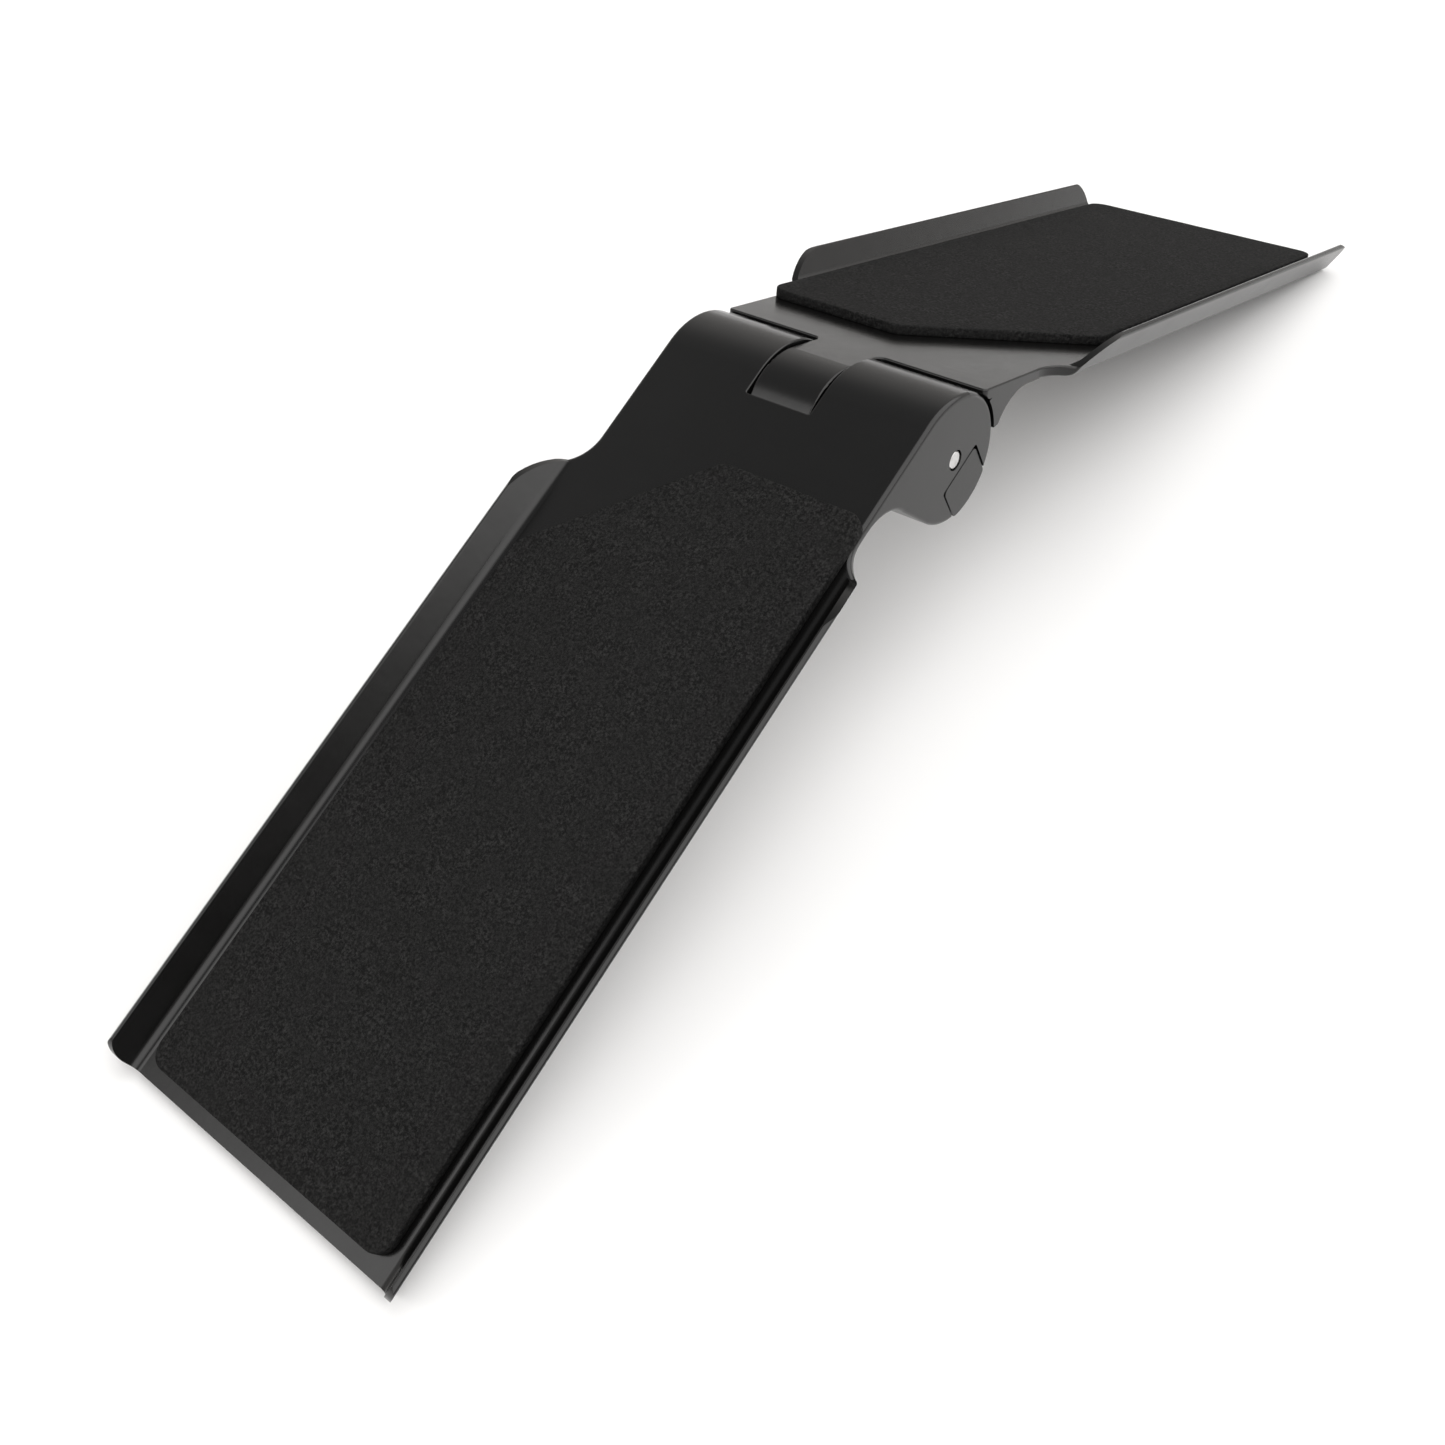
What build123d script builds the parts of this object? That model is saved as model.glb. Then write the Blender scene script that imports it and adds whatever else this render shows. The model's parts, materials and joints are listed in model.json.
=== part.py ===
from build123d import *
import math
import os

# Folding dog ramp, standing as a low tent on the two end edges of its halves.
# X runs along the hinge pin, the lower half falls away toward -Y and the upper half toward +Y, +Z is up.
# Each half is drawn flat in its own frame, with the pin's axis at the origin, and is tilted into place last.
# The finished model has its origin in the middle of its footprint, on the floor.

# Driving dimensions, mm and degrees
BEND = 40.0                # angle between the two walking planes, 0 is a straight ramp
END_REACH = 669.0          # pin axis to the end edge, both halves
NECK_HALF = 120.0          # half width of the neck and of the hinge barrel
FLOOR_HALF = 133.0         # half width of the tray floor, up to the side rail
RAIL_OUT = 13.2            # how far the rail's inner face leans out
RAIL_RISE = 22.4           # rail height above the floor
RAIL_T = 5.0               # rail thickness
LOWER_TOP = 54.5           # pin axis to the lower half's walking plane
LOWER_T = 9.0
UPPER_TOP = 46.5           # pin axis to the upper half's walking plane
UPPER_T = 8.0

BARREL_R = 49.6
SHOULDER_R = 65.0          # sweep from the walking plane down to the barrel
THROAT_R = 38.0            # hollow curve between a hinge wall and a tray's underside
LOWER_THROAT_Y = -97.1
UPPER_THROAT_Y = 90.0
SIDE_EDGE_R = 3.5          # rounding around the barrel's two side faces
CHEEK_R = 51.2             # inner face of the upper half's wall around the barrel
CHEEK_TIP = 15.0           # lowest point of that wall, degrees above +Y
FRONT_Y = 27.0             # front edge of the upper half's plate
FRONT_CORNER_R = 4.0

SLOT_HALF = 29.3           # slot in the barrel for the tongue
SLOT_END = -31.8
SLOT_CORNER_R = 2.0
SLOT_EDGE_R = 1.2
TONGUE_HALF = 27.7
TONGUE_R = 52.0            # curve of the tongue's top, starting at TONGUE_BREAK
TONGUE_BREAK = -11.0
TONGUE_END = -30.8         # the tongue's tip, in the lower half's frame at the drawn bend
TONGUE_CLEAR = 1.0         # slot wall around the turning tongue
TONGUE_ROOT_R = 6.0
PLATE_EDGE_R = 1.4

NECK_ARC_R = 33.0          # sweep from the neck out to the tray
NECK_ARC_Y = 106.0
RAIL_START = 190.0         # where the rail has reached its full height
RAIL_START_R = 78.0
RAIL_END_R = 15.0
BASE_R = 9.0               # bend between the floor and a rail
RIM_R = 1.6

PIN_R = 7.0
PIN_SETBACK = 0.8
PIN_MOUTH_R = 7.9
PIN_MOUTH_DEPTH = 5.0
BUSH_R = 10.0
BUSH_BORE_R = 7.05
BUSH_LENGTH = 24.0
WASHER_R = 16.0
WASHER_T = 1.2

NOTCH_FRONT, NOTCH_BACK, NOTCH_TOP = 24.6, -22.8, -12.0
NOTCH_EDGE_R = 2.2
LOCK_GAP_FRONT, LOCK_GAP_BACK = 1.0, 2.0
NOTCH_CORNER_R = 3.0
LOCK_LIFT = 3.0            # free height above a lock block
LOCK_R = 50.7
LOCK_CORNER_R = 4.5
LOCK_EDGE_R = 0.5
LOCK_INNER, LOCK_OUTER = 30.6, 119.2
GUIDE_XY = ((48.0, 13.0), (100.0, -13.0))
SPRING_XY = ((48.0, -12.0), (100.0, 12.0))
GUIDE_R, GUIDE_HOLE_R, GUIDE_THREAD_R = 3.0, 3.15, 2.5
GUIDE_HEAD_R, GUIDE_BORE_R = 5.5, 6.2
GUIDE_SEAT, GUIDE_HEAD_H, GUIDE_TIP = -36.0, 3.5, 8.0
SPRING_R, SPRING_WIRE_R, SPRING_TURNS = 4.0, 0.6, 6.0
SPRING_POCKET_R, SPRING_POCKET_END = 5.4, -33.0

PAD_HALF = 122.0
PAD_T = 8.0
PAD_CORNER_R = 14.0
PAD_LIFT = 0.0
LOWER_PAD = (93.0, 657.0)  # near and far edge, from the pin axis
UPPER_PAD = (83.0, 660.0)
PAD_BEVEL = 118.0          # leg of the corner that is cut away at 45 degrees


def polar(radius, degrees):
    """Point of the YZ profile at a radius and an angle above +Y."""
    turn = math.radians(degrees)
    return (radius * math.cos(turn), radius * math.sin(turn))


def arc(centre, radius, start, end):
    """Circular arc in a profile, through its middle, from one angle to another."""
    points = [polar(radius, start), polar(radius, (start + end) / 2), polar(radius, end)]
    return ThreePointArc(*[(centre[0] + y, centre[1] + z) for y, z in points])


def across(face, half):
    """A YZ profile made solid across the ramp, equally to both sides of the middle."""
    return extrude(Plane.YZ * face, amount=half, both=True)


def cylinder_x(radius, x_from, x_to, y=0.0, z=0.0):
    """Round bar along X."""
    centre = Location(((x_from + x_to) / 2, y, z), (0, 90, 0))
    return centre * Cylinder(radius, x_to - x_from)


def block(x, y, z):
    """Box between two limits on each axis."""
    size = [high - low for low, high in (x, y, z)]
    middle = [(high + low) / 2 for low, high in (x, y, z)]
    return Pos(*middle) * Box(*size)


def both_sides(shape):
    """A shape and its mirror image across the ramp's middle."""
    return shape + mirror(shape, about=Plane.YZ)


def channel(top, thickness, near, far):
    """Tray floor with its two leaning rails, from near to far along +Y, before its ends are shaped."""
    lean = math.atan2(RAIL_RISE, RAIL_OUT)
    rim_in = (FLOOR_HALF + RAIL_OUT, top + RAIL_RISE)
    rim_out = (rim_in[0] + RAIL_T * math.sin(lean), rim_in[1] - RAIL_T * math.cos(lean))
    drop = rim_out[1] - (top - thickness)
    base_out = (rim_out[0] - drop / math.tan(lean), top - thickness)
    half = [(FLOOR_HALF, top), rim_in, rim_out, base_out]
    outline = half + [(-x, z) for x, z in reversed(half)]
    face = make_face(Polyline(*outline, close=True))
    low = top - thickness
    bends = [v for v in face.vertices() if abs(abs(v.X) - FLOOR_HALF) < 0.01 or abs(v.Y - low) < 0.01]
    face = fillet(bends, BASE_R)
    rims = [v for v in face.vertices() if v.Y > top + RAIL_RISE / 2]
    face = fillet(rims, RIM_R)
    solid = extrude(Plane.XZ * face, amount=far - near)
    return Pos(0, far, 0) * solid


def end_cutters(top):
    """What is cut from a channel: beside the neck, above the rising rail, and off the rail's far corner."""
    high = top + RAIL_RISE
    wide = FLOOR_HALF + RAIL_OUT + 20
    edge_y = NECK_ARC_Y
    sweep_end = edge_y + NECK_ARC_R
    beside = make_face(
        Polyline((wide, sweep_end), (wide, 0), (NECK_HALF, 0), (NECK_HALF, edge_y))
        + arc((NECK_HALF + NECK_ARC_R, edge_y), NECK_ARC_R, 180, 90)
        + Line((NECK_HALF + NECK_ARC_R, sweep_end), (wide, sweep_end))
    )
    beside = extrude(Plane.XY * beside, amount=200, both=True)

    rise_y = RAIL_START - math.sqrt(RAIL_START_R**2 - (RAIL_START_R - RAIL_RISE) ** 2)
    start_angle = math.degrees(math.asin((RAIL_START_R - RAIL_RISE) / RAIL_START_R))
    rising = make_face(
        Polyline((rise_y, top), (rise_y, high + 20), (RAIL_START, high + 20), (RAIL_START, high))
        + arc((RAIL_START, high - RAIL_START_R), RAIL_START_R, 90, 180 - start_angle)
    )
    rising += Pos(rise_y - 25, top + 30) * Rectangle(50, 60)

    corner_y, corner_z = END_REACH - RAIL_END_R, high - RAIL_END_R
    corner = make_face(
        Polyline((corner_y, high), (corner_y, high + 5), (END_REACH + 5, high + 5), (END_REACH + 5, corner_z))
        + Line((END_REACH + 5, corner_z), (END_REACH, corner_z))
        + arc((corner_y, corner_z), RAIL_END_R, 0, 90)
    )
    side = extrude(Plane.YZ * (rising + corner), amount=wide)
    side -= block((-1, NECK_HALF), (0, 2 * END_REACH), (-200, 200))
    return both_sides(beside + side)


def sweep_edges(tray, level):
    """Edges at one level along the side of the neck and round its sweep out to the tray."""
    picked = []
    for edge in tray.edges():
        middle = edge.position_at(0.5)
        side = abs(middle.X) - NECK_HALF
        on_neck = abs(side) < 0.01 and middle.Y < NECK_ARC_Y
        on_sweep = abs(math.hypot(side - NECK_ARC_R, middle.Y - NECK_ARC_Y) - NECK_ARC_R) < 0.05
        on_sweep = on_sweep and middle.Y > NECK_ARC_Y
        if (on_neck or on_sweep) and edge.bounding_box().size.Z < 0.01 and abs(middle.Z - level) < 0.01:
            picked.append(edge)
    return picked


def tray_half(top, thickness, top_edge_r, under_edge_r):
    """Shaped channel of one half, running toward +Y."""
    tray = channel(top, thickness, NECK_ARC_Y - 10, END_REACH) - end_cutters(top)
    tray = fillet(sweep_edges(tray, top), top_edge_r)
    return fillet(sweep_edges(tray, top - thickness), under_edge_r)


def hinge_neck():
    """Lower half's neck and the full barrel, as one profile across the ramp, running toward -Y."""
    under = LOWER_TOP - LOWER_T
    throat = (LOWER_THROAT_Y, under - THROAT_R)
    reach = math.hypot(*throat)
    leave = math.degrees(math.atan2(throat[1], throat[0]) + math.acos((BARREL_R + THROAT_R) / reach))
    crest_z = LOWER_TOP - SHOULDER_R
    crest_y = -math.sqrt((SHOULDER_R - BARREL_R) ** 2 - crest_z**2)
    meet = math.degrees(math.atan2(-crest_z, -crest_y))
    back = -(NECK_ARC_Y + 2)
    lobe = polar(BARREL_R, leave)
    hollow = polar(THROAT_R, leave - 180)
    hollow = (throat[0] + hollow[0], throat[1] + hollow[1])
    profile = make_face(
        Polyline((throat[0], under), (back, under), (back, LOWER_TOP), (crest_y, LOWER_TOP))
        + arc((crest_y, crest_z), SHOULDER_R, 90, meet)
        + arc((0, 0), BARREL_R, meet, leave - 360)
        + Line(lobe, hollow)
        + arc(throat, THROAT_R, leave - 180, 90)
    )
    return across(profile, NECK_HALF)


def tongue_tip():
    """Tip of the tongue in the upper half's frame, and its angle on the curve of the tongue's top."""
    centre = Vector(0, TONGUE_BREAK, UPPER_TOP - TONGUE_R)
    turned = centre.rotate(Axis.X, -BEND)
    rise = math.sqrt(TONGUE_R**2 - (TONGUE_END - turned.Y) ** 2)
    tip = Vector(0, TONGUE_END, turned.Z + rise).rotate(Axis.X, BEND)
    return (tip.Y, tip.Z), math.degrees(math.atan2(tip.Z - centre.Z, tip.Y - centre.Y))


def tongue_slot():
    """Room for the tongue in the middle of the barrel."""
    turning = cylinder_x(math.hypot(*tongue_tip()[0]) + TONGUE_CLEAR, -SLOT_HALF, SLOT_HALF)
    ahead = block((-SLOT_HALF, SLOT_HALF), (SLOT_END, 80), (-80, 80))
    ahead = fillet(ahead.edges().filter_by(Axis.Z).group_by(Axis.Y)[0], SLOT_CORNER_R)
    below = block((-SLOT_HALF, SLOT_HALF), (-80, 0), (-80, 24))
    return turning + ahead + below


def guide_holes():
    """Threaded holes over the lock blocks, right side."""
    depth = GUIDE_TIP + 1 - NOTCH_TOP
    holes = [Pos(x, y, NOTCH_TOP + depth / 2 - 0.5) * Cylinder(GUIDE_THREAD_R, depth + 1) for x, y in GUIDE_XY]
    return holes[0] + holes[1]


def side_edges(shape):
    """Edges around the two side faces of a neck and its hinge part, back to the sweep into the tray."""
    picked = []
    for edge in shape.edges():
        box = edge.bounding_box()
        flat = abs(abs(box.min.X) - NECK_HALF) < 0.01 and abs(abs(box.max.X) - NECK_HALF) < 0.01
        if flat and max(abs(box.min.Y), abs(box.max.Y)) < NECK_ARC_Y + 1.9 and edge.length > 2:
            picked.append(edge)
    return picked


def slot_edges(shape):
    """Outer edges of the slot, where a hand could catch on them."""
    picked = []
    for edge in shape.edges():
        middle = edge.position_at(0.5)
        box = edge.bounding_box()
        on_wall = abs(abs(middle.X) - SLOT_HALF) < SLOT_CORNER_R and box.size.X < SLOT_CORNER_R + 0.1
        at_end = abs(middle.X) < 1 and abs(middle.Y - SLOT_END) < 0.1
        outside = abs(middle.Z - LOWER_TOP) < 0.05 or (middle.Y > 5 and on_wall)
        if outside and (on_wall or at_end):
            picked.append(edge)
    return picked


def notch():
    """Recess for the lock blocks along the foot of the barrel, its outer edges rounded off."""
    cut = block((-200, 200), (NOTCH_BACK, NOTCH_FRONT), (-80, NOTCH_TOP))
    cut = fillet(cut.edges().filter_by(Axis.X).group_by(Axis.Z)[-1], NOTCH_CORNER_R)
    for y, inward in ((NOTCH_BACK, -1), (NOTCH_FRONT, 1)):
        z = -math.sqrt(BARREL_R**2 - y**2)
        middle = y + inward * NOTCH_EDGE_R
        corner = block((-200, 200), sorted((y, middle)), (z - 6, z + 1.6))
        cut += corner - cylinder_x(NOTCH_EDGE_R, -200, 200, middle, z + 1.6)
    return cut


def lower_tray():
    neck = hinge_neck()
    neck = fillet(side_edges(neck), SIDE_EDGE_R)
    neck -= tongue_slot()
    neck = fillet(slot_edges(neck), SLOT_EDGE_R)
    tray = mirror(tray_half(LOWER_TOP, LOWER_T, SIDE_EDGE_R, SIDE_EDGE_R), about=Plane.XZ) + neck
    tray -= notch()
    tray -= cylinder_x(PIN_R, -200, 200)
    mouth = cylinder_x(PIN_MOUTH_R, NECK_HALF - PIN_MOUTH_DEPTH, NECK_HALF + 1)
    return tray - both_sides(mouth) - both_sides(guide_holes())


def hinge_wall():
    """Upper half's wall that wraps over the barrel, with the underside of the neck."""
    under = UPPER_TOP - UPPER_T
    throat_z = under - THROAT_R
    tip_in = polar(CHEEK_R, CHEEK_TIP)
    tip_angle = 180 - math.degrees(math.asin((tip_in[1] + 1.6 - throat_z) / THROAT_R))
    tip_out = polar(THROAT_R, tip_angle)
    tip_out = (tip_out[0] + UPPER_THROAT_Y, tip_out[1] + throat_z)
    level = UPPER_TOP - UPPER_T / 2
    profile = make_face(
        arc((0, 0), CHEEK_R, CHEEK_TIP, 46)
        + Polyline(polar(CHEEK_R, 46), (46, level), (UPPER_THROAT_Y + 2, level), (UPPER_THROAT_Y + 2, under))
        + Line((UPPER_THROAT_Y + 2, under), (UPPER_THROAT_Y, under))
        + arc((UPPER_THROAT_Y, throat_z), THROAT_R, 90, tip_angle)
        + Line(tip_out, tip_in)
    )
    return across(profile, NECK_HALF)


def neck_plate():
    """Flat plate of the upper half's neck and the tongue's root, its front and sides rounded on top."""
    back = NECK_ARC_Y + 2
    plan = Pos(0, (FRONT_Y + back) / 2) * Rectangle(2 * NECK_HALF, back - FRONT_Y)
    plan += Pos(0, (TONGUE_BREAK + back) / 2) * Rectangle(2 * TONGUE_HALF, back - TONGUE_BREAK)
    front = [v for v in plan.vertices() if abs(v.Y - FRONT_Y) < 0.01]
    plan = fillet([v for v in front if abs(v.X) < NECK_HALF - 1], TONGUE_ROOT_R)
    front = [v for v in plan.vertices() if abs(v.Y - FRONT_Y) < 0.01 and abs(v.X) > NECK_HALF - 1]
    plan = fillet(front, FRONT_CORNER_R)
    plate = Pos(0, 0, UPPER_TOP) * extrude(plan, amount=-UPPER_T)
    rims = plate.edges().group_by(Axis.Z)[-1]
    rims = [e for e in rims if TONGUE_BREAK + 0.1 < e.position_at(0.5).Y < back - 0.1]
    plate = fillet(rims, PLATE_EDGE_R)
    for side in (-1, 1):
        plate -= cylinder_x(CHEEK_R, *sorted((side * TONGUE_HALF, side * 200)))
    return plate


def tongue():
    """Knuckle between the barrel's two lobes, its curved top falling away from the neck's plate."""
    centre = (TONGUE_BREAK, UPPER_TOP - TONGUE_R)
    tip, tip_angle = tongue_tip()
    profile = make_face(
        Line((40, UPPER_TOP), (TONGUE_BREAK, UPPER_TOP))
        + arc(centre, TONGUE_R, 90, tip_angle)
        + Polyline(tip, (-50, -5), (-30, -30), (30, -28), (52, 15), (40, UPPER_TOP))
    )
    knuckle = across(profile, TONGUE_HALF)
    sides = [e for e in knuckle.edges() if abs(abs(e.position_at(0.5).X) - TONGUE_HALF) < 0.01]
    rims = [e for e in sides if e.geom_type == GeomType.CIRCLE or abs(e.position_at(0.5).Z - UPPER_TOP) < 0.01]
    return fillet(rims, PLATE_EDGE_R)


def upper_tray():
    tray = tray_half(UPPER_TOP, UPPER_T, PLATE_EDGE_R, PLATE_EDGE_R) + hinge_wall() + neck_plate() + tongue()
    return tray - cylinder_x(BUSH_R, -TONGUE_HALF - 1, TONGUE_HALF + 1)


def pad(near, far, top):
    """Foam pad with one big 45 degree corner, running toward +Y, the cut on the +X side."""
    outline = Polyline(
        (-PAD_HALF, near),
        (PAD_HALF - PAD_BEVEL, near),
        (PAD_HALF, near + PAD_BEVEL),
        (PAD_HALF, far),
        (-PAD_HALF, far),
        close=True,
    )
    face = fillet(make_face(outline).vertices(), PAD_CORNER_R)
    return Pos(0, 0, top + PAD_LIFT) * extrude(face, amount=PAD_T)


def lower_pad():
    return Rot(0, 0, 180) * pad(*LOWER_PAD, LOWER_TOP)


def upper_pad():
    return pad(*UPPER_PAD, UPPER_TOP)


def hinge_pin():
    reach = NECK_HALF - PIN_SETBACK
    pin = cylinder_x(PIN_R, -reach, reach)
    return chamfer(pin.edges().filter_by(GeomType.CIRCLE), 0.8)


def hinge_bush():
    """Right-hand bush, pressed into the tongue."""
    sleeve = cylinder_x(BUSH_R, TONGUE_HALF - BUSH_LENGTH, TONGUE_HALF)
    return sleeve - cylinder_x(BUSH_BORE_R, 0, TONGUE_HALF + 1)


def thrust_washer():
    """Right-hand washer, in the gap between the tongue and the barrel."""
    play = (SLOT_HALF - TONGUE_HALF - WASHER_T) / 2
    washer = cylinder_x(WASHER_R, TONGUE_HALF + play, SLOT_HALF - play)
    return washer - cylinder_x(BUSH_BORE_R, TONGUE_HALF, SLOT_HALF)


def lock_block():
    """Right-hand lock block, bored for its two guide screws and its two springs."""
    front, back = NOTCH_FRONT - LOCK_GAP_FRONT, NOTCH_BACK + LOCK_GAP_BACK
    top = NOTCH_TOP - LOCK_LIFT
    body = block((LOCK_INNER, LOCK_OUTER), (back, front), (-80, top))
    body &= cylinder_x(LOCK_R, LOCK_INNER, LOCK_OUTER)
    body = fillet(body.edges().filter_by(Axis.X), LOCK_CORNER_R)
    body = fillet(body.faces().sort_by(Axis.X)[-1].edges(), LOCK_EDGE_R)
    for x, y in GUIDE_XY:
        body -= Pos(x, y, -40) * Cylinder(GUIDE_HOLE_R, 80)
        body -= Pos(x, y, GUIDE_SEAT - 20) * Cylinder(GUIDE_BORE_R, 40)
    for x, y in SPRING_XY:
        depth = top - SPRING_POCKET_END
        body -= Pos(x, y, SPRING_POCKET_END + depth / 2 + 0.5) * Cylinder(SPRING_POCKET_R, depth + 1)
    return body


def guide_screws():
    """Right-hand pair of shoulder screws."""
    shoulder = NOTCH_TOP - GUIDE_SEAT
    screws = []
    for x, y in GUIDE_XY:
        head = Pos(x, y, GUIDE_SEAT - 0.1 - GUIDE_HEAD_H / 2) * Cylinder(GUIDE_HEAD_R, GUIDE_HEAD_H)
        shank = Pos(x, y, GUIDE_SEAT - 0.1 + (shoulder + 0.1) / 2) * Cylinder(GUIDE_R, shoulder + 0.1)
        thread = Pos(x, y, (NOTCH_TOP + GUIDE_TIP) / 2) * Cylinder(GUIDE_THREAD_R, GUIDE_TIP - NOTCH_TOP)
        socket = Pos(x, y, GUIDE_SEAT - GUIDE_HEAD_H) * extrude(RegularPolygon(2.3, 6), amount=1.6)
        screws.append(head + shank + thread - socket)
    return screws


def lock_springs():
    """Right-hand pair of coil springs, drawn at the length they have with the block pressed in."""
    low, high = SPRING_POCKET_END + 2.5, NOTCH_TOP - 0.1
    height = high - low - 2 * SPRING_WIRE_R
    springs = []
    for x, y in SPRING_XY:
        path = Helix(height / SPRING_TURNS, height, SPRING_R)
        wire = Plane(path @ 0, z_dir=path % 0) * Circle(SPRING_WIRE_R)
        springs.append(Pos(x, y, low + SPRING_WIRE_R) * sweep(wire, path=path))
    return springs


def tilts():
    """Tilt of the lower and the upper half that puts both end edges on one level."""
    half = math.radians(BEND / 2)
    low, high = LOWER_TOP - LOWER_T, UPPER_TOP - UPPER_T
    reach = 2 * END_REACH * math.cos(half) + (low + high) * math.sin(half)
    offset = math.atan((low - high) * math.cos(half) / reach)
    return math.degrees(half + offset), math.degrees(half - offset)


def mirrored(shapes):
    return [mirror(shape, about=Plane.YZ) for shape in shapes]


def solids_of(shape):
    shapes = shape if isinstance(shape, list) else [shape]
    return [solid for item in shapes for solid in item.solids()]


def main():
    lower_parts = {
        "lower_tray": lower_tray(),
        "lower_pad": lower_pad(),
        "hinge_pin": hinge_pin(),
        "right_lock_block": lock_block(),
        "left_lock_block": mirror(lock_block(), about=Plane.YZ),
        "right_guide_screws": guide_screws(),
        "left_guide_screws": mirrored(guide_screws()),
        "right_lock_springs": lock_springs(),
        "left_lock_springs": mirrored(lock_springs()),
    }
    upper_parts = {
        "upper_tray": upper_tray(),
        "upper_pad": upper_pad(),
        "right_hinge_bush": hinge_bush(),
        "left_hinge_bush": mirror(hinge_bush(), about=Plane.YZ),
        "right_thrust_washer": thrust_washer(),
        "left_thrust_washer": mirror(thrust_washer(), about=Plane.YZ),
    }
    lower_tilt, upper_tilt = tilts()
    placed = {}
    for parts, tilt in ((lower_parts, lower_tilt), (upper_parts, -upper_tilt)):
        for name, shape in parts.items():
            solids = [Rot(tilt, 0, 0) * solid for solid in solids_of(shape)]
            placed[name] = solids[0] if len(solids) == 1 else Compound(children=solids)

    box = Compound(children=[solid for shape in placed.values() for solid in shape.solids()]).bounding_box()
    shift = Pos(0, -(box.min.Y + box.max.Y) / 2, -box.min.Z)
    os.makedirs("parts", exist_ok=True)
    for name, shape in placed.items():
        moved = shift * shape
        moved.label = name
        export_step(moved, f"parts/{name}.step")
    pin_axis = shift.position
    print("pin axis at y", round(pin_axis.Y, 3), "z", round(pin_axis.Z, 3), "tilts", lower_tilt, upper_tilt)


main()
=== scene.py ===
import json
import math

import bmesh
import bpy
from mathutils import Matrix, Vector, noise


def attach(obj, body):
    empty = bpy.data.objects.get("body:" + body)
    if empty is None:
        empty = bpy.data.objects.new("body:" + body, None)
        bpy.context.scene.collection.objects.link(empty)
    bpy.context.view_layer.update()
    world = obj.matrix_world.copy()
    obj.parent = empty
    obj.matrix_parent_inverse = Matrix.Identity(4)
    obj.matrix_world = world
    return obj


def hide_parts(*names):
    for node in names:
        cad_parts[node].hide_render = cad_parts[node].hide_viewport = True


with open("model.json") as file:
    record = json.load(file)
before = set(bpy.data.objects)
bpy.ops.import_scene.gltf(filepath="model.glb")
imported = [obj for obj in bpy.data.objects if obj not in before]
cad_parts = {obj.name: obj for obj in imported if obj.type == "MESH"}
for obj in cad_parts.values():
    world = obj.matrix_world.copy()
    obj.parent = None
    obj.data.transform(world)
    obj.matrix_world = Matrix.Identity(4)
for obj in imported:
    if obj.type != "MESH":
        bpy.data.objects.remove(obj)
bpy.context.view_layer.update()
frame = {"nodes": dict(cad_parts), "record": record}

# Folding dog ramp. Metres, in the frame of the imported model: X along the hinge pin, +Z up.

# foam treads
PAD_HALF = 0.122            # half the width
PAD_T = 0.008               # thickness
PAD_CORNER_R = 0.014
PAD_BEVEL = 0.118           # the long cut corner, along each side
PAD_EDGE_R = 0.0013         # top edge
PAD_EDGE_STEPS = 5
PAD_FOOT = 0.0006           # the cut wall leans in this much where it meets the tray
PAD_FOOT_RISE = 0.0008      # height at which the wall is back to full size
PAD_GRID = 0.009            # spacing of the cuts that let the top face wave
PAD_WAVE = 0.00022          # height of the wave
WAVE_LONG, WAVE_SHORT = 17.0, 60.0      # noise scales of the wave
WAVE_SINK = 0.9             # keeps the wave's peaks at about the flat height

# each half's plate top above the pin's axis, and where its pad starts and ends, from the pin
LOWER_TOP, UPPER_TOP = 0.0545, 0.0465
LOWER_PAD = (0.093, 0.657)
UPPER_PAD = (0.083, 0.660)

# light tent: brightness near the floor and overhead, and the rise, as a sine, between which it changes
TENT_LOW, TENT_HIGH = 0.66, 0.31
TENT_CHANGE = (0.50, 0.82)
BACKGROUND = 0.92           # what shows behind the ramp
# azimuth, elevation, angle to the soft edge, angle to full effect, brightness
FLAG = (-20, 5, 24.0, 17.0, 0.02)
SOFTBOXES = (
    (18, 25, 17.5, 9.0, 3.4),
    (-130, 48, 17.0, 6.0, 2.6),
    (-50, 42, 30.0, 16.0, 2.2),
    (44, 52, 46.0, 34.0, 2.3),
)
FLOOR_REACH = 30.0

SENSOR_WIDTH, LENS = 36.0, 36.96        # millimetres
CAMERA_AT = (0.60847, -0.72121, 0.85724)
CAMERA_RIGHT = Vector((0.76788, 0.62587, -0.13657))
CAMERA_AHEAD = Vector((-0.50906, 0.46677, -0.72318))


# ---------------------------------------------------------------- where things are


def joint_named(name):
    return next(j for j in frame["record"]["behaviour"]["joints"] if j["name"] == name)


def tilt_of(mount_name):
    """Slope of the half that has this mount on its underside, about +X."""
    axis = Vector(next(m for m in frame["record"]["mounts"] if m["name"] == mount_name)["axis"])
    return math.atan2(axis.y, -axis.z)


PIN = Vector(joint_named("fold")["pos_m"])
LOWER_TILT = tilt_of("lower_end_underside")
UPPER_TILT = tilt_of("upper_end_underside")


def half_frame(tilt):
    """From a half's own flat frame, with the pin's axis at its origin, to the model's frame."""
    return Matrix.Translation(PIN) @ Matrix.Rotation(tilt, 4, "X")


# ---------------------------------------------------------------- shader maths


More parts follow.
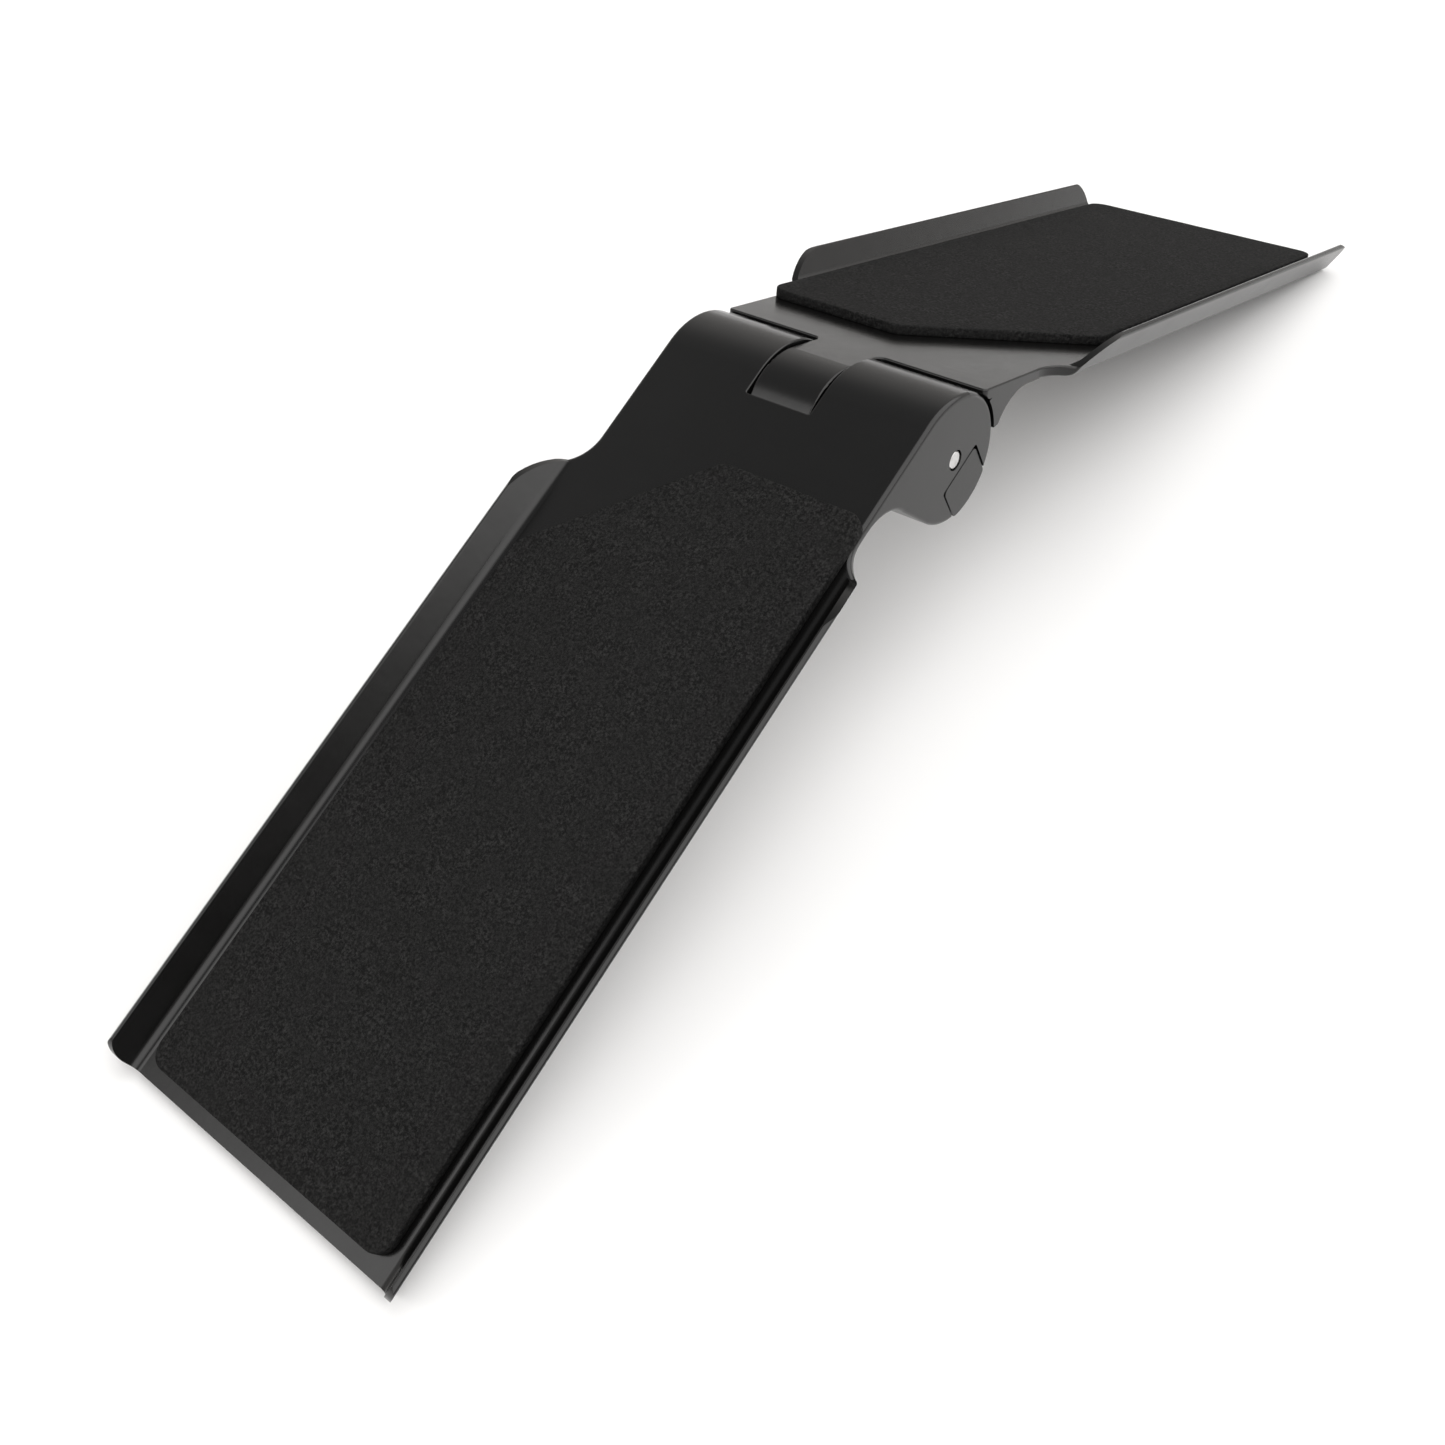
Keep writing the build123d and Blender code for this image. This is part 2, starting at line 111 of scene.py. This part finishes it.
class Socket:
    """An output socket that takes part in arithmetic, adding the nodes that it needs.

    An input named i0, i1 and so on goes to the socket of that number, any other to the socket of that name.
    """

    def __init__(self, tree, output):
        self.tree, self.output = tree, output

    def node(self, kind, settings=None, out=0, **inputs):
        made = self.tree.nodes.new(kind)
        for key, value in (settings or {}).items():
            setattr(made, key, value)
        for key, value in inputs.items():
            numbered = key[0] == "i" and key[1:].isdigit()
            socket = made.inputs[int(key[1:]) if numbered else key.replace("_", " ")]
            if isinstance(value, Socket):
                self.tree.links.new(value.output, socket)
            else:
                socket.default_value = value
        return Socket(self.tree, made.outputs[out])

    def maths(self, operation, a, b):
        return self.node("ShaderNodeMath", {"operation": operation}, i0=a, i1=b)

    def __add__(self, other):
        return self.maths("ADD", self, other)

    __radd__ = __add__

    def __mul__(self, other):
        return self.maths("MULTIPLY", self, other)

    def __sub__(self, other):
        return self.maths("SUBTRACT", self, other)

    def __rsub__(self, other):
        return self.maths("SUBTRACT", other, self)

    def noise(self, scale, detail, roughness, distortion=0.0):
        shape = {"Scale": scale, "Detail": detail, "Roughness": roughness, "Distortion": distortion}
        return self.node("ShaderNodeTexNoise", Vector=self, **shape)

    def cells(self, scale):
        return self.node("ShaderNodeTexVoronoi", Vector=self, Scale=scale)

    def stretched(self, scale):
        return self.node("ShaderNodeVectorMath", {"operation": "MULTIPLY"}, i0=self, i1=scale)

    def between(self, low, high):
        """0 at low, 1 at high, smooth between."""
        smooth = {"interpolation_type": "SMOOTHSTEP"}
        return self.node("ShaderNodeMapRange", smooth, Value=self, From_Min=low, From_Max=high)

    def blend(self, first, second):
        """first where this value is 0, second where it is 1. Both are colours."""
        return self.node("ShaderNodeMix", {"data_type": "RGBA"}, 2, i0=self, i6=first, i7=second)

    def bump(self, strength, distance, under=None):
        more = {"Normal": under} if under else {}
        return self.node("ShaderNodeBump", Height=self, Strength=strength, Distance=distance, **more)


def grey(value, warm=0.0):
    """A grey that leans towards red by the share warm."""
    return (value * (1 + warm), value, value * (1 - warm), 1.0)


def new_material(name, varying=None, **constants):
    """Principled material. varying(position) gives the sockets that change over the surface."""
    material = bpy.data.materials.new(name)
    material.use_nodes = True
    tree = material.node_tree
    shader = tree.nodes["Principled BSDF"]
    for key, value in constants.items():
        shader.inputs[key.replace("_", " ")].default_value = value
    if varying:
        position = Socket(tree, tree.nodes.new("ShaderNodeTexCoord").outputs["Object"])
        for key, socket in varying(position).items():
            tree.links.new(socket.output, shader.inputs[key.replace("_", " ")])
    return material


# ---------------------------------------------------------------- finishes
# Noise scales are in features per metre, bump distances in metres.


def moulded(base, rough):
    """Moulded plastic: satin skin with a fine spark texture, faint smears and dust."""

    def varying(p):
        grain = p.noise(2600.0, 2.0, 0.6)
        ripple = p.noise(34.0, 3.0, 0.55)
        smear = p.stretched((1.0, 0.35, 1.0)).noise(11.0, 4.0, 0.6, 0.8).between(0.42, 0.72)
        dust = p.noise(900.0, 1.0, 0.5).between(0.66, 0.78)
        colour = (dust * 0.35).blend(grey(base, 0.02), grey(base * 2.6, 0.03))
        roughness = rough + (ripple - 0.5) * 0.06 + smear * 0.0125 + (grain - 0.5) * 0.05
        normal = grain.bump(0.08, 0.00012, ripple.bump(0.10, 0.0012))
        return {"Base_Color": colour, "Roughness": roughness, "Normal": normal}

    return varying


def foam(base):
    """Closed-cell foam skin: matt, with a speckled grain and faint worn patches."""

    def varying(p):
        clump = p.noise(430.0, 3.0, 0.62, 0.6)
        fine = p.noise(900.0, 2.0, 0.7)
        speck = p.cells(520.0)
        broad = p.noise(9.0, 3.0, 0.5)
        patchy = p.noise(48.0, 2.0, 0.5).between(0.35, 0.65)
        strong = (clump - 0.5) * 2.0 * (0.5 + patchy * 0.7)
        light = strong + (fine - 0.5) * 1.0 + (0.5 - speck) * 0.3 + 0.40
        colour = light.between(0.0, 1.15).blend(grey(base * 0.55), grey(base * 2.6, 0.01))
        worn = (broad.between(0.35, 0.7) * 0.10).blend(colour, grey(base * 1.3))
        height = clump * 0.6 + fine * 0.4
        roughness = 0.88 + (fine - 0.5) * 0.14
        return {"Base_Color": worn, "Roughness": roughness, "Normal": height.bump(0.25, 0.0006)}

    return varying


def plated_steel(base, rough):
    """Bright steel with fine scratches and a faint stain."""

    def varying(p):
        scratches = p.noise(420.0, 3.0, 0.7)
        stain = p.noise(160.0, 2.0, 0.5)
        colour = stain.between(0.4, 0.75).blend(grey(base, 0.01), grey(base * 0.78, 0.02))
        roughness = rough + (scratches - 0.5) * 0.18
        return {"Base_Color": colour, "Roughness": roughness, "Normal": scratches.bump(0.08, 0.0001)}

    return varying


PLASTIC = new_material("moulded_black", moulded(0.0030, 0.22), IOR=1.5, Specular_IOR_Level=0.46)
LOCK_PLASTIC = new_material(
    "lock_block_black", moulded(0.0034, 0.28), IOR=1.5, Specular_IOR_Level=0.46
)
FOAM = new_material("tread_foam", foam(0.0125), IOR=1.45, Specular_IOR_Level=0.06)
PIN_STEEL = new_material("pin_steel", plated_steel(0.62, 0.3), Metallic=1.0)
SCREW_STEEL = new_material("screw_zinc", plated_steel(0.34, 0.36), Metallic=1.0)
SPRING_STEEL = new_material("spring_wire", plated_steel(0.5, 0.28), Metallic=1.0)
NYLON = new_material("nylon_bush", moulded(0.55, 0.42), IOR=1.53)

NODE_FINISH = {
    "lower_tray": PLASTIC,
    "upper_tray": PLASTIC,
    "right_lock_block": LOCK_PLASTIC,
    "left_lock_block": LOCK_PLASTIC,
    "hinge_pin": PIN_STEEL,
    "right_guide_screws": SCREW_STEEL,
    "left_guide_screws": SCREW_STEEL,
    "right_lock_springs": SPRING_STEEL,
    "left_lock_springs": SPRING_STEEL,
    "right_hinge_bush": NYLON,
    "left_hinge_bush": NYLON,
    "right_thrust_washer": NYLON,
    "left_thrust_washer": NYLON,
}
for node_name, finish in NODE_FINISH.items():
    node_object = frame["nodes"][node_name]
    for material_slot in node_object.material_slots:
        material_slot.material = finish


# ---------------------------------------------------------------- foam treads


def rounded_outline(corners, radius, steps=8):
    """Closed counter-clockwise outline with rounded corners, as (point, outward normal) pairs."""
    outline = []
    count = len(corners)
    for i, corner in enumerate(corners):
        before = (corners[i - 1] - corner).normalized()
        after = (corners[(i + 1) % count] - corner).normalized()
        half = before.angle(after) / 2
        centre = corner + (before + after).normalized() * (radius / math.sin(half))
        start = -Vector((before.y, -before.x))
        end = Vector((after.y, -after.x))
        for k in range(steps + 1):
            normal = start.slerp(end, k / steps)
            outline.append((centre + normal * radius, normal))
    return outline


def pad_mesh(name, near, far, top, place, turn):
    """Foam tread between two distances from the pin, on a half's plate whose height is top."""
    corners = [
        Vector((-PAD_HALF, near)),
        Vector((PAD_HALF - PAD_BEVEL, near)),
        Vector((PAD_HALF, near + PAD_BEVEL)),
        Vector((PAD_HALF, far)),
        Vector((-PAD_HALF, far)),
    ]
    outline = rounded_outline(corners, PAD_CORNER_R)
    wall_top = PAD_T - PAD_EDGE_R
    rings = [(PAD_FOOT, 0.0), (0.0, PAD_FOOT_RISE), (0.0, wall_top * 0.5), (0.0, wall_top)]
    for k in range(1, PAD_EDGE_STEPS + 1):
        angle = math.pi / 2 * k / PAD_EDGE_STEPS
        rings.append((PAD_EDGE_R * (1 - math.cos(angle)), wall_top + PAD_EDGE_R * math.sin(angle)))
    work = bmesh.new()
    levels = [[work.verts.new((*(p - n * inset), z)) for p, n in outline] for inset, z in rings]
    count = len(outline)
    for low, high in zip(levels, levels[1:]):
        for i in range(count):
            j = (i + 1) % count
            work.faces.new((low[i], low[j], high[j], high[i]))
    work.faces.new(levels[-1])
    work.faces.new(list(reversed(levels[0])))
    for axis, low, high in ((0, -PAD_HALF, PAD_HALF), (1, near, far)):
        steps = int((high - low) / PAD_GRID)
        for k in range(1, steps):
            at = [0.0, 0.0, 0.0]
            at[axis] = low + (high - low) * k / steps
            direction = [0.0, 0.0, 0.0]
            direction[axis] = 1.0
            everything = work.verts[:] + work.edges[:] + work.faces[:]
            bmesh.ops.bisect_plane(work, geom=everything, plane_co=at, plane_no=direction)
    for vertex in work.verts:
        share = max(0.0, vertex.co.z / PAD_T) ** 2
        wave = noise.noise(vertex.co * WAVE_LONG) + 0.5 * noise.noise(vertex.co * WAVE_SHORT)
        vertex.co.z += (wave - WAVE_SINK) * PAD_WAVE * share
    matrix = place @ Matrix.Rotation(turn, 4, "Z") @ Matrix.Translation((0, 0, top))
    bmesh.ops.transform(work, matrix=matrix, verts=work.verts[:])
    bmesh.ops.recalc_face_normals(work, faces=work.faces[:])
    mesh = bpy.data.meshes.new(name)
    work.to_mesh(mesh)
    work.free()
    mesh.shade_smooth()
    mesh.materials.append(FOAM)
    piece = bpy.data.objects.new(name, mesh)
    bpy.context.collection.objects.link(piece)
    return piece


lower_tread = pad_mesh("lower_tread", *LOWER_PAD, LOWER_TOP, half_frame(LOWER_TILT), math.pi)
upper_tread = pad_mesh("upper_tread", *UPPER_PAD, UPPER_TOP, half_frame(UPPER_TILT), 0.0)
TREADS = ((lower_tread, "lower_pad", "lower_half"), (upper_tread, "upper_pad", "upper_half"))
for tread, node_name, body in TREADS:
    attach(tread, body)
    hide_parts(node_name)


# ---------------------------------------------------------------- studio


def toward(azimuth, elevation):
    """Unit vector, degrees from +X toward +Y and degrees above the floor."""
    turn, rise = math.radians(azimuth), math.radians(elevation)
    return Vector((math.cos(turn) * math.cos(rise), math.sin(turn) * math.cos(rise), math.sin(rise)))


def studio_sky():
    """Soft light tent, pale near the floor and dim overhead, with softboxes and one dark flag."""
    world = bpy.data.worlds.new("studio_world")
    bpy.context.scene.world = world
    world.use_nodes = True
    tree = world.node_tree
    direction = Socket(tree, tree.nodes.new("ShaderNodeTexCoord").outputs["Generated"])

    def patch(azimuth, elevation, edge, full):
        """0 outside a round patch of the tent and 1 inside it, in degrees from its middle."""
        middle = toward(azimuth, elevation)
        dot = {"operation": "DOT_PRODUCT"}
        aim = direction.node("ShaderNodeVectorMath", dot, 1, i0=direction, i1=middle)
        return aim.between(math.cos(math.radians(edge)), math.cos(math.radians(full)))

    height = direction.node("ShaderNodeSeparateXYZ", None, 2, Vector=direction)
    tent = height.between(*TENT_CHANGE).blend(grey(TENT_LOW, 0.03), grey(TENT_HIGH))
    *flag_place, flag_level = FLAG
    tent = patch(*flag_place).blend(tent, grey(flag_level))
    for azimuth, elevation, edge, full, level in SOFTBOXES:
        tent = patch(azimuth, elevation, edge, full).blend(tent, grey(level, 0.01))
    # the background is plain in every view; the tent lights the ramp and shows in its gloss
    looked_at = Socket(tree, tree.nodes.new("ShaderNodeLightPath").outputs["Is Camera Ray"])
    tent = looked_at.blend(tent, grey(BACKGROUND))
    tree.links.new(tent.output, tree.nodes["Background"].inputs["Color"])
    tree.nodes["Background"].inputs["Strength"].default_value = 1.0


def studio():
    """Plain pale floor under the tent."""
    floor_mesh = bpy.data.meshes.new("studio_floor")
    corners = [(x * FLOOR_REACH, y * FLOOR_REACH, 0) for x, y in ((-1, -1), (1, -1), (1, 1), (-1, 1))]
    floor_mesh.from_pydata(corners, [], [(0, 1, 2, 3)])
    floor = bpy.data.objects.new("studio_floor", floor_mesh)
    bpy.context.collection.objects.link(floor)
    matt_white = {"Base_Color": grey(0.9), "Roughness": 0.9, "Specular_IOR_Level": 0.1}
    floor_mesh.materials.append(new_material("pale_floor", **matt_white))
    studio_sky()


def camera():
    data = bpy.data.cameras.new("camera")
    data.sensor_width, data.lens = SENSOR_WIDTH, LENS
    made = bpy.data.objects.new("camera", data)
    bpy.context.collection.objects.link(made)
    up = CAMERA_RIGHT.cross(CAMERA_AHEAD)
    turn = Matrix((CAMERA_RIGHT, up, -CAMERA_AHEAD)).transposed().to_4x4()
    made.matrix_world = Matrix.Translation(CAMERA_AT) @ turn
    data.clip_start, data.clip_end = 0.01, 100
    bpy.context.scene.camera = made


studio()
camera()
bpy.context.scene.view_settings.view_transform = "Standard"
